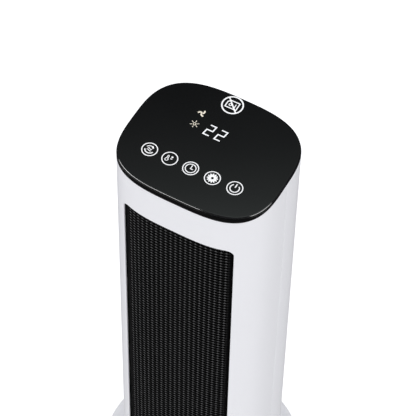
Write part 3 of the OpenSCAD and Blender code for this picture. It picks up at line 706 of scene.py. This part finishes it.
# A share for each point: on the front mesh it carries the painted highlight at the joints, on the glass it
# raises the edge's gloss.
highlight_share, highlight_asked, highlight_made = node_group(
    "highlight_share", [("Dull", FLOAT, 0.0), ("Highlit", FLOAT, 1.0), ("Sharpness", FLOAT, 1.0)],
    [("Value", FLOAT)])
polish = add_node(highlight_share, "Attribute", attribute_name="polished")
sharper = add_node(highlight_share, "Math", {0: polish.outputs["Fac"], 1: highlight_asked["Sharpness"]},
                   operation="POWER")
highlight_value = add_node(highlight_share, "MapRange", {
    "Value": sharper.outputs[0], "To Min": highlight_asked["Dull"], "To Max": highlight_asked["Highlit"]})
feed(highlight_made, {"Value": highlight_value.outputs["Result"]})


def add_highlight_share(tree, dull, polished, sharpness=1):
    """Puts the share group in a finish: from one value to another by the piece's share, which is
    a painted highlight on the front mesh and a raised gloss on the glass's edge.
    """
    return add_node(tree, "Group", {"Dull": dull, "Highlit": polished, "Sharpness": sharpness},
                    node_tree=highlight_share).outputs["Value"]


black_plastic = moulded("black_plastic", (0.0025, 0.0025, 0.0026), (0.0045, 0.0045, 0.0047), 30,
                        1400, (0.25, 0.36), 0.1, specular=0.15)
mesh_plastic = moulded("mesh_plastic", (0.0015, 0.0015, 0.0016), (0.003, 0.003, 0.0031), 30, 1400,
                       (0.4, 0.5), 0.1, specular=0.02)
mesh_tree = mesh_plastic.node_tree
mesh_shader = mesh_tree.nodes["Principled BSDF"]
height = add_node(mesh_tree, "SeparateXYZ", {
    "Vector": add_node(mesh_tree, "TexCoord").outputs["Object"]}).outputs["Z"]
row_number = add_node(mesh_tree, "Math", {
    0: height, 1: 1 / strand_pitch, 2: -(mesh_floor + strand_rise) / strand_pitch},
    operation="MULTIPLY_ADD")
off_joint = add_node(mesh_tree, "Math", {0: row_number.outputs[0], 1: 0.5}, operation="PINGPONG")
at_joint = add_node(mesh_tree, "MapRange", {
    "Value": off_joint.outputs[0], "From Max": 0.27, "To Min": 1, "To Max": 0.06})
# Painted highlight: near the joints the colour turns pale grey, by each point's share, in place of a lamp's
# glint.
painted_highlight = add_node(mesh_tree, "Math", {
    0: at_joint.outputs["Result"], 1: add_highlight_share(mesh_tree, 0, 1, 1.5)}, operation="MULTIPLY")
painted_highlight_colour = add_node(mesh_tree, "Mix", {
    MIX_SHARE: painted_highlight.outputs[0], MIX_SECOND: painted_highlight_grey,
    MIX_FIRST: mesh_shader.inputs["Base Color"].links[0].from_socket}, data_type="RGBA")
feed(mesh_shader, {"Base Color": painted_highlight_colour.outputs[MIX_RESULT]})
make_piece("front_mesh", mesh_points, mesh_faces, mesh_plastic, "tower", "black_plastic",
           ["front_grille"], polished=mesh_highlight)

# ============================================================ Top rim
# A black moulding closes the tower's top. Its rim shows as a black band under the glass, thin at the
# sides and deeper in front, and a plate inside the rim carries the glass and the circuit board.
glass_low, glass_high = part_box("glass_panel")
cap_low, cap_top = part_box("top_cap")[0].z, glass_low.z
rim_gap = 0.2 * mm
plate_reach, plate_under = 12 * mm, cap_top - 2.4 * mm


def turned(rows, steps=360):
    """Rows of (depth under the outline, height) once round the tower. A height may be a function of
    the walk."""
    walk = np.linspace(0, girth, steps + 1)[:-1]
    return place_on_tower(np.stack([
        np.stack(np.broadcast_arrays(walk, height(walk) if callable(height) else height, depth), -1)
        for depth, height in rows]))


def closed_over(grid, height, rings=6):
    """Carries a turned surface's last row in to a point at its middle, by shrinking it ring by ring."""
    middle = np.array([0, 0, height])
    share = np.linspace(1, 0, rings + 1)[1:, None, None]
    return np.concatenate([grid, middle + (grid[-1] - middle) * share])


def closed_solid(profile):
    """A turned surface, closed over at both ends of its profile."""
    under = closed_over(turned(profile[:1]), profile[0][1])[:0:-1]
    return np.concatenate([under, closed_over(turned(profile), profile[-1][1])])


def above_joint(rise):
    """A height that follows the joint with the shells."""
    return lambda walk: rim_line(walk) + rim_gap + rise


rim_profile = [
    (plate_reach, plate_under), (4.8 * mm, plate_under), (4.8 * mm, cap_low + 1 * mm),
    (2.8 * mm, cap_low + 1 * mm), (2.7 * mm, above_joint(0)), (0.25 * mm, above_joint(0)),
    (0.07 * mm, above_joint(0.07 * mm)), (0, above_joint(0.25 * mm)), (0, cap_top - 0.5 * mm),
    (0.07 * mm, cap_top - 0.2 * mm), (0.25 * mm, cap_top), (plate_reach, cap_top)]
make_piece("top_rim", *fuse([(closed_solid(rim_profile), True)]), black_plastic, "tower",
           "black_plastic", ["top_cap"])

# ============================================================ Glass panel
# A black glass plate covers the whole top. Its ground edge is rounded, and its polished face mirrors
# the room. The touch buttons' rings are printed on it, so it stands a hair lower than they do.
glass_top = glass_high.z - 0.04 * mm
glass_under = glass_low.z + 0.02 * mm
glass_round, glass_inset = 0.9 * mm, 0.4 * mm
glass_profile = [(glass_inset + 0.25 * mm, glass_under), (glass_inset, glass_low.z + 0.3 * mm)]
glass_profile += [(glass_inset + back, glass_top - depth)
                  for back, depth in quarter(glass_round, 8)[::-1]]
glass_profile += [(glass_inset + glass_round + extra * mm, glass_top) for extra in (0.5, 2, 6, 14)]
glass_grid = closed_solid(glass_profile)
glass_height = glass_grid[..., 2]
edge_reach = (glass_top - glass_low.z) / 2 - 0.02 * mm
on_edge = np.abs(glass_height - (glass_top + glass_low.z) / 2) < edge_reach

black_glass, glass_tree, glass_shader = new_material("black_glass")
smears = add_grain(glass_tree, (0.0035, 0.0035, 0.004), (0.006, 0.006, 0.0065), 14, 60, (0.05, 0.11))
feed(glass_shader, {
    "Base Color": smears["Colour"], "Roughness": smears["Roughness"],
    "Specular IOR Level": add_highlight_share(glass_tree, 0.5, 1), "Coat Weight": add_highlight_share(glass_tree, 0, 1)})
# Only the front half of the edge is polished enough to show a bright line.
make_piece("glass_top", *fuse([(glass_grid, True)]), black_glass, "tower", "black_glass",
           ["glass_panel"], polished=(on_edge & (glass_grid[..., 1] < 0)).reshape(-1).astype(float))

# ============================================================ Printed rings and signs
# White ink on the glass: five ringed touch buttons, for swing, temperature, timer, settings and power,
# and a ringed sign of a barred box. Each line is a flat ribbon of ink, less than 0.04 mm thick.
ink_low, ink_high = glass_top + 0.004 * mm, glass_high.z
buttons = [(-46.72, -28.45), (-25.6, -28.54), (-3.69, -28.84), (18.75, -28.67), (41.73, -28.51)]
barred_box = (-5.97, 54.15)


def with_levels(rows):
    """Rows of flat points, each lifted to its own height."""
    return np.stack([with_depth(points, level) for points, level in rows])


def stroke(path, width, closed=False):
    """A ribbon of ink along a path of (x, y) in millimetres: each point moves half the width to both
    sides of the path, further on a bend so that the ribbon keeps its width. Its section is a flat
    rectangle."""
    path = np.array(path, float) * mm
    if closed:
        ahead, behind = np.roll(path, -1, 0) - path, path - np.roll(path, 1, 0)
    else:
        step = np.diff(path, axis=0)
        ahead, behind = np.vstack([step, step[-1]]), np.vstack([step[0], step])
    ahead = ahead / np.linalg.norm(ahead, axis=1, keepdims=True)
    behind = behind / np.linalg.norm(behind, axis=1, keepdims=True)
    aside = np.stack([-(ahead + behind)[:, 1], (ahead + behind)[:, 0]], 1)
    aside = aside / np.linalg.norm(aside, axis=1, keepdims=True)
    square_on = (aside * np.stack([-ahead[:, 1], ahead[:, 0]], 1)).sum(1)
    half = aside / np.clip(square_on, 0.4, 1)[:, None] * width * mm / 2
    left, right = path + half, path - half
    grid = with_levels([(right, ink_low), (left, ink_low), (left, ink_high), (right, ink_high),
                        (right, ink_low)])
    if closed:
        return np.concatenate([grid, grid[:, :1]], 1), False
    first, last = (end.mean(0, keepdims=True) for end in (grid[:4, :1], grid[:4, -1:]))
    return np.concatenate([np.repeat(first, 5, 0), grid, np.repeat(last, 5, 0)], 1), False


def filled(outline, hole=None):
    """A filled shape in millimetres, drawn in to its middle, or to a hole with as many points."""
    outline = np.array(outline, float) * mm
    if hole is None:
        inner = np.repeat(outline.mean(0, keepdims=True), len(outline), 0)
    else:
        inner = np.array(hole, float) * mm
    rows = [(inner, ink_low), (outline, ink_low), (outline, ink_high), (inner, ink_high)]
    return with_levels(rows if hole is None else rows + rows[:1]), True


def arc(x, y, radius, start, end, steps=40):
    """Points on a circular arc, with angles in degrees anticlockwise from the right."""
    angle = np.radians(np.linspace(start, end, steps + 1))
    return np.stack([x + radius * np.cos(angle), y + radius * np.sin(angle)], 1)


def circle(x, y, radius, width, steps=72):
    """A closed ring of ink."""
    return stroke(arc(x, y, radius, 0, 360, steps)[:-1], width, closed=True)


def moved(place, shapes):
    """Ink shapes drawn about (0, 0), moved to a place on the glass."""
    return [(grid + np.array([*place, 0]) * mm, closed) for grid, closed in shapes]


def glowing(name, colour, strength):
    """Lit ink or a lit segment. Its glow varies a little in a fine pattern, as light through tinted
    glass does."""
    material, tree, shader = new_material(name)
    pattern = add_grain(tree, colour, [0.93 * c for c in colour], 500, 3000, (0.3, 0.45))
    feed(shader, {"Base Color": pattern["Colour"], "Emission Color": pattern["Colour"],
                  "Roughness": pattern["Roughness"], "Emission Strength": strength})
    return material


wavy = np.array([(-2.6, 0.0), (-1.6, 0.7), (-0.4, -0.1), (0.8, -0.7), (2.0, 0.0)])
swing = [stroke(arc(0, 0.4, 4.6, 200, 334), 1.1), stroke(arc(0, -0.4, 4.5, 62, 150), 0.85),
         filled([(1.2, 4.9), (3.3, 2.3), (0.9, 2.2)]),
         stroke(wavy + [0, 0.9], 0.7), stroke(wavy - [0, 1.0], 0.7)]
bulb = np.concatenate([arc(-2.4, -1.9, 1.5, 115, 425, 30),
                       [(-1.75, 2.2), (-2.05, 2.75), (-2.75, 2.75), (-3.05, 2.2)]])
temperature = [stroke(bulb, 0.7, closed=True), stroke([(0.3, 2.4), (2.5, 2.4)], 0.8),
               stroke([(1.4, 1.3), (1.4, 3.5)], 0.8), stroke([(0.4, 0.2), (2.4, 0.2)], 0.8)]
timer = [circle(0, 0, 4.9, 0.9), stroke([(0, 4.0), (0, -0.4), (2.5, -0.4)], 0.9)]
gear_turn = np.radians(np.linspace(0, 360, 193)[:-1])
gear_reach = 3.2 + 2.1 * np.abs(np.cos(6 * (gear_turn - np.radians(15)))) ** 0.9
gear_line = np.stack([np.cos(gear_turn), np.sin(gear_turn)], 1)
settings = [filled(gear_reach[:, None] * gear_line, 1.35 * gear_line)]
power_sign = [stroke(arc(0, -0.3, 4.3, 128, 412), 1.0), stroke([(0, 5.0), (0, 0.6)], 1.05)]
printed = []
for place, sign in zip(buttons, (swing, temperature, timer, settings, power_sign)):
    printed += moved(place, [circle(0, 0, 7.25, 0.95)] + sign)
printed += moved(barred_box, [
    circle(0, 0, 9.92, 1.4), stroke([(-6.8, 6.8), (6.8, -6.8)], 1.3),
    stroke([(-3.4, 4.5), (5.5, 4.5), (5.5, -4.1), (-5.8, -4.1), (-5.8, 2.0)], 1.1, closed=True),
    stroke([(2.8, 2.2), (2.8, -2.2)], 0.9), circle(-2, -0.4, 1.3, 0.8, 32)])
make_piece("printed_marks", *fuse(printed), glowing("backlit_white", (0.93, 0.94, 0.94), 0.4),
           "tower", "display")

# ============================================================ Lit digits and signs
# Two digits of square strokes and two small cream signs, a fan and a sun, glow through the glass.
# The light block under the glass is a separate moulding.
fan_place, sun_place = (-25.8, 31.8), (-25.7, 17.6)
digits = []
# Each digit: the left and right ends of its top and of its bottom, and the heights of both.
for left, right, low_left, low_right, high, low in ((-12.0, -5.9, -13.7, -7.6, 23.8, 11.8),
                                                    (-0.1, 6.0, -1.9, 4.1, 23.4, 11.4)):
    half = (high + low) / 2
    digits.append(stroke([(left, high), (right, high), ((right + low_right) / 2, half),
                          ((left + low_left) / 2, half), (low_left, low), (low_right, low)], 1.2))
make_piece("lit_digits", *fuse(digits), glowing("lit_white", (0.9, 0.92, 0.93), 0.5), "tower",
           "display")

blade_reach = np.linspace(0.4, 3.8, 12)
blades = []
for turned_by in (0, 120, 240):
    lead = np.radians(turned_by + 20 * blade_reach)
    blades.append(stroke(blade_reach[:, None] * np.stack([np.cos(lead), np.sin(lead)], 1), 1.5))
sun = [circle(0, 0, 1.3, 0.6, 32)]
for toward in np.radians(np.arange(0, 360, 60) + 30):
    ray_line = np.array([np.cos(toward), np.sin(toward)])
    sun.append(stroke([ray_line * 2.3, ray_line * 4.3], 0.6))
make_piece("lit_signs", *fuse(moved(fan_place, blades) + moved(sun_place, sun)),
           glowing("lit_cream", (0.86, 0.8, 0.66), 0.4), "tower", "display")

# ============================================================ Hand grip and switch bezel
# A black moulded cup behind the rear wall takes the fingers of the hand that carries the heater. The
# mains switch sits in a black bezel near the bottom; its snap-in body lies behind the wall.


def box_loop(half_run, half_rise, radius, height, along):
    """Points round an upright rounded rectangle. Its sides and its distance back are in millimetres.
    Where that distance is None, it lies in the rear wall."""
    loop = rounded_loop(half_run * mm, half_rise * mm, radius * mm, crowd(32, 1.6), crowd(18, 1.6))
    y = wall_line(loop[:, 0], 0.35 * mm) if along is None else along * mm
    return np.stack(np.broadcast_arrays(loop[:, 0], y, loop[:, 1] + height), -1)


def boxed_solid(loops):
    """A closed surface through a row of loops, drawn in to a point at both ends."""
    first, last = (np.repeat(loop.mean(0, keepdims=True), len(loop), 0)
                   for loop in (loops[0], loops[-1]))
    return fuse([(np.stack([first, *loops, last]), True)])


# Each row: half width, half height, corner radius, distance back.
cup_rows = [(37.6, 17.6, 6.6, 42.05), (37.7, 17.7, 6.7, 42.5), (37.7, 17.7, 6.7, None),
            (35.9, 15.9, 5, None), (35.7, 15.7, 4.9, 62)]
cup_rows += [(35.7 - closer, 15.7 - closer, 4.9 - closer, 44 + deeper)
             for deeper, closer in quarter(3.5, 6)[::-1]]
cup = [box_loop(*row[:3], middle_height("grip_cup"), row[3]) for row in cup_rows]
cup[3][:, 1] -= 0.05 * mm
make_piece("grip", *boxed_solid(cup), black_plastic, "tower", "black_plastic", ["grip_cup"])

bezel = [box_loop(*row[:3], middle_height("switch_frame"), row[3]) for row in (
    (10.8, 9.3, 0.6, 46.1), (10.8, 9.3, 0.6, 66), (12.9, 11.4, 2.2, 66), (13, 11.5, 2.3, 66.15),
    (13, 11.5, 2.3, 66.9), (12.8, 11.3, 2.1, 67.35), (12.3, 10.8, 1.6, 67.6),
    (7.8, 8.6, 0.8, 67.6), (7.4, 8.2, 0.5, 67.3), (7.3, 8.1, 0.4, 66.8), (7.3, 8.1, 0.4, 51))]
make_piece("switch_bezel", *boxed_solid(bezel), black_plastic, "tower", "black_plastic",
           ["switch_frame"])

# ============================================================ Filter panel
# The white panel in the rear window has five columns of fine air slots. It lies flush in the wall, and
# a black nylon net is fixed to its inner face.
window_low, window_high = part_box("filter_panel")
panel_half = window_high.x - 0.1 * mm
panel_low, panel_high = window_low.z + 0.1 * mm, window_high.z - 0.1 * mm
panel_wall, panel_edge = 2.2 * mm, 0.3 * mm
slot_columns, slot_rows = 5, 66
slot_margin = 5 * mm
cell_width = (2 * panel_half - 2 * slot_margin) / slot_columns
cell_height = (panel_high - panel_low - 2 * slot_margin) / slot_rows
slot_half_run, slot_half_rise = cell_width / 2 - 1.3 * mm, 1.05 * mm
steps_across = 4


def in_rear_wall(loop, depth):
    """A loop of (sideways place, height) behind the tower, at a depth in its wall."""
    walk = walk_to(loop[:, 0], depth, behind=True)
    return with_depth(np.stack([walk, loop[:, 1]], 1), depth)


def slot_cell(column, row):
    """One cell of the panel: from its straight border to the slot's eased edge, through, and back."""
    middle = [(column - (slot_columns - 1) / 2) * cell_width,
              panel_low + slot_margin + (row + 0.5) * cell_height]
    border = frame_loop(np.linspace(-1, 1, steps_across + 1) * cell_width / 2,
                        np.linspace(-1, 1, 3) * cell_height / 2)
    wide, slot = (rounded_loop(slot_half_run + grow, slot_half_rise + grow, slot_half_rise + grow,
                               np.array([-1, -0.94, 0, 0.94, 1]), np.array([-1, 0, 1]))
                  for grow in (0.25 * mm, 0))
    return place_on_tower(np.stack([in_rear_wall(loop + middle, depth) for loop, depth in (
        (border, 0), (wide, 0), (slot, panel_edge), (slot, 2 * mm), (border, panel_wall))]))


panel_parts = [(slot_cell(c, r), True) for c in range(slot_columns) for r in range(slot_rows)]


def panel_frame(set_back):
    """The panel's outer border, set back from its edges, with as many points as its field of slots."""
    half = panel_half - set_back
    return frame_loop(np.linspace(-half, half, slot_columns * steps_across + 1),
                      np.linspace(panel_low + set_back, panel_high - set_back, slot_rows * 2 + 1))


field = panel_frame(slot_margin)
band = [in_rear_wall(loop, depth) for loop, depth in (
    (field, 0), (panel_frame(panel_edge), 0), (panel_frame(0), panel_edge),
    (panel_frame(0), panel_wall), (field, panel_wall))]
panel_parts.append((place_on_tower(np.stack(band)), True))
make_piece("filter_front", *fuse(panel_parts), white_plastic, "filter", "white_plastic",
           ["filter_panel"])

# ============================================================ Finishes of the parts inside and below
# Every other part keeps its machined or moulded shape and gets its own finish: turned and rolled
# metals, varnished circuit boards, soft rubber, fired ceramic, a woven net and plain moulded plastics.
woven_net, net_asked, net_made = node_group(
    "woven_net", [("Thread Colour", COLOUR, (0.05, 0.05, 0.05, 1)), ("Gap Colour", COLOUR, (0, 0, 0, 1)),
                  ("Threads Per Metre", FLOAT, 1400.0)],
    [("Colour", COLOUR), ("Height", FLOAT)])
net_place = add_node(woven_net, "SeparateXYZ", {
    "Vector": add_node(woven_net, "TexCoord").outputs["Object"]})
waves = []
for axis in ("X", "Z"):
    threads = add_node(woven_net, "Math", {
        0: net_place.outputs[axis], 1: net_asked["Threads Per Metre"]}, operation="MULTIPLY")
    waves.append(add_node(woven_net, "Math", {0: threads.outputs[0], 1: 0.5}, operation="PINGPONG"))
over = add_node(woven_net, "Math", {n: wave.outputs[0] for n, wave in enumerate(waves)},
                operation="MAXIMUM")
thread = add_node(woven_net, "MapRange", {"Value": over.outputs[0], "From Min": 0.28, "From Max": 0.42})
shade = add_node(woven_net, "Mix", {
    MIX_SHARE: thread.outputs["Result"], MIX_FIRST: net_asked["Gap Colour"],
    MIX_SECOND: net_asked["Thread Colour"]}, data_type="RGBA")
feed(net_made, {"Colour": shade.outputs[MIX_RESULT], "Height": thread.outputs["Result"]})
nylon_net, net_tree, net_shader = new_material("nylon_net")
weave = add_node(net_tree, "Group", node_tree=woven_net)
raised = add_node(net_tree, "Bump", {"Distance": relief_depth, "Height": weave.outputs["Height"]})
feed(net_shader, {"Roughness": 0.75, "Base Color": weave.outputs["Colour"],
                  "Normal": raised.outputs["Normal"]})

finishes = {"white_plastic": white_plastic, "black_plastic": black_plastic,
            "black_glass": black_glass, "filter": nylon_net}
# Each row: slot, finish, its two colours, mottle size, grain size, gloss range, relief, metallic.
for slot, *finish, metallic in (
        ("display", "light_block", (0.7, 0.71, 0.7), (0.62, 0.63, 0.62), 60, 1500, (0.35, 0.45), 0.02, 0),
        ("grey_plastic", "grey_plastic", (0.085, 0.086, 0.09), (0.07, 0.07, 0.074), 25, 1600,
         (0.4, 0.55), 0.15, 0),
        ("natural_plastic", "natural_plastic", (0.72, 0.7, 0.63), (0.66, 0.64, 0.57), 30, 1500,
         (0.35, 0.5), 0.08, 0),
        ("heatproof_plastic", "heatproof_plastic", (0.05, 0.032, 0.022), (0.034, 0.022, 0.016), 70,
         1100, (0.5, 0.7), 0.3, 0),
        ("red_plastic", "red_plastic", (0.5, 0.022, 0.018), (0.44, 0.018, 0.015), 40, 1500,
         (0.25, 0.35), 0.05, 0),
        ("steel", "zinc_plated_steel", (0.6, 0.6, 0.61), (0.48, 0.49, 0.5), 40, 900, (0.22, 0.42), 0.08, 1),
        ("brass", "brass", (0.72, 0.55, 0.26), (0.6, 0.44, 0.2), 40, 900, (0.2, 0.4), 0.08, 1),
        ("aluminium", "aluminium_strip", (0.76, 0.76, 0.77), (0.62, 0.62, 0.64), 40, 500, (0.28, 0.5),
         0.15, 1),
        ("ceramic", "fired_ceramic", (0.52, 0.49, 0.45), (0.4, 0.38, 0.35), 90, 700, (0.55, 0.8), 0.4, 0),
        ("board", "varnished_board", (0.014, 0.12, 0.045), (0.01, 0.09, 0.034), 120, 900, (0.2, 0.35),
         0.1, 0),
        ("component", "component_case", (0.035, 0.1, 0.32), (0.028, 0.08, 0.26), 90, 1300, (0.3, 0.45),
         0.1, 0),
        ("rubber", "soft_rubber", (0.024, 0.024, 0.025), (0.036, 0.036, 0.037), 60, 800, (0.6, 0.85),
         0.4, 0)):
    finishes[slot] = moulded(*finish, metallic=metallic)
for part in record["subparts"]:
    node = frame["nodes"][part["node"]]
    node.material_slots[0].material = finishes[part["material_slot"]]
